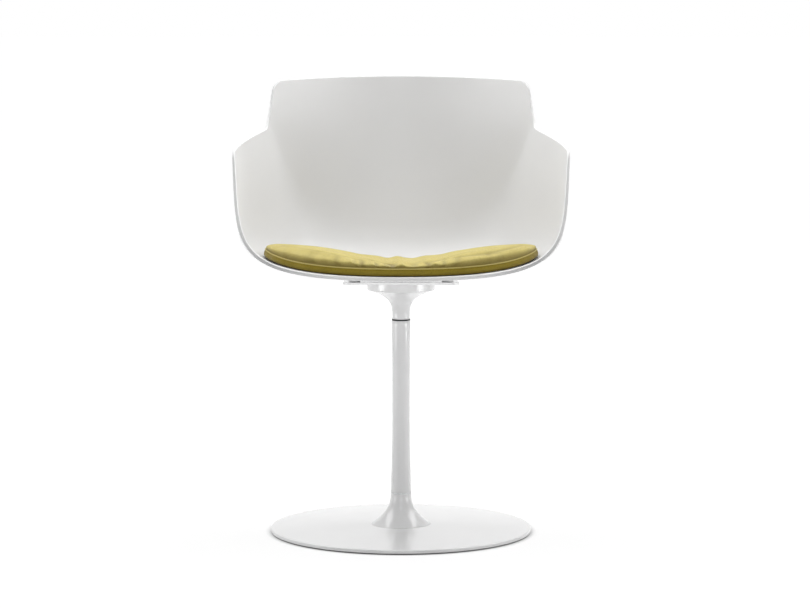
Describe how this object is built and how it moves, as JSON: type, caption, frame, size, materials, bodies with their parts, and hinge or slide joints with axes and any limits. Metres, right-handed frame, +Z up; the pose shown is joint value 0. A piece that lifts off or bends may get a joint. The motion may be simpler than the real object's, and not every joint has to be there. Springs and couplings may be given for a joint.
{
  "type": "pedestal swivel armchair",
  "caption": "Armchair with a one-piece bucket shell and a thin boxed seat pad, turning on a slim column over a round floor plate.",
  "frame": {"origin": "on the floor under the axis of the column", "axes": "+Z up along the column, -Y is the way the chair faces, +X to the left of someone seated"},
  "size_m": [0.5678, 0.5179, 0.7766],
  "materials": {
    "white_lacquer": "glossy white lacquer",
    "white_shell": "satin gloss white, coloured through",
    "steel": "turned, zinc plated",
    "insert_brass": "turned",
    "bush_nylon": "natural",
    "black_plastic": "moulded",
    "tape_nylon": "hook and loop pile",
    "isolator_rubber": "moulded",
    "pad_board": "felted board",
    "pad_foam": "cut foam",
    "pad_cover": "soft, mustard yellow"
  },
  "bodies": {
    "pedestal": {"floor_glide": "black_plastic", "floor_plate": "white_lacquer", "foot_bolt": "steel", "foot_bolt_washer": "steel", "trumpet_foot": "white_lacquer", "foot_ring": "steel", "column_tube": "white_lacquer", "column_plug": "steel", "bearing_housing": "steel", "lower_bush": "bush_nylon", "upper_bush": "bush_nylon", "thrust_washer": "black_plastic"},
    "seat": {"spindle": "steel", "retaining_washer": "steel", "spindle_clip": "steel", "seat_hub": "white_lacquer", "mounting_plate": "white_lacquer", "seat_shell": "white_shell", "pad_board": "pad_board", "pad_foam": "pad_foam", "pad_cover": "pad_cover", "hub_screw_1": "steel", "isolator_1": "isolator_rubber", "shell_screw_1": "steel", "shell_insert_1": "insert_brass", "hook_tape_1": "tape_nylon", "loop_tape_1": "tape_nylon", "hub_screw_2": "steel", "isolator_2": "isolator_rubber", "shell_screw_2": "steel", "shell_insert_2": "insert_brass", "hook_tape_2": "tape_nylon", "loop_tape_2": "tape_nylon", "hub_screw_3": "steel", "isolator_3": "isolator_rubber", "shell_screw_3": "steel", "shell_insert_3": "insert_brass", "hook_tape_3": "tape_nylon", "loop_tape_3": "tape_nylon", "hub_screw_4": "steel", "isolator_4": "isolator_rubber", "shell_screw_4": "steel", "shell_insert_4": "insert_brass", "hook_tape_4": "tape_nylon", "loop_tape_4": "tape_nylon"}
  },
  "joints": [
    {"name": "seat_swivel", "type": "hinge", "parent": "pedestal", "child": "seat", "pos_m": [0, 0, 0.3687], "axis": [0, 0, 1], "continuous": true}
  ]
}
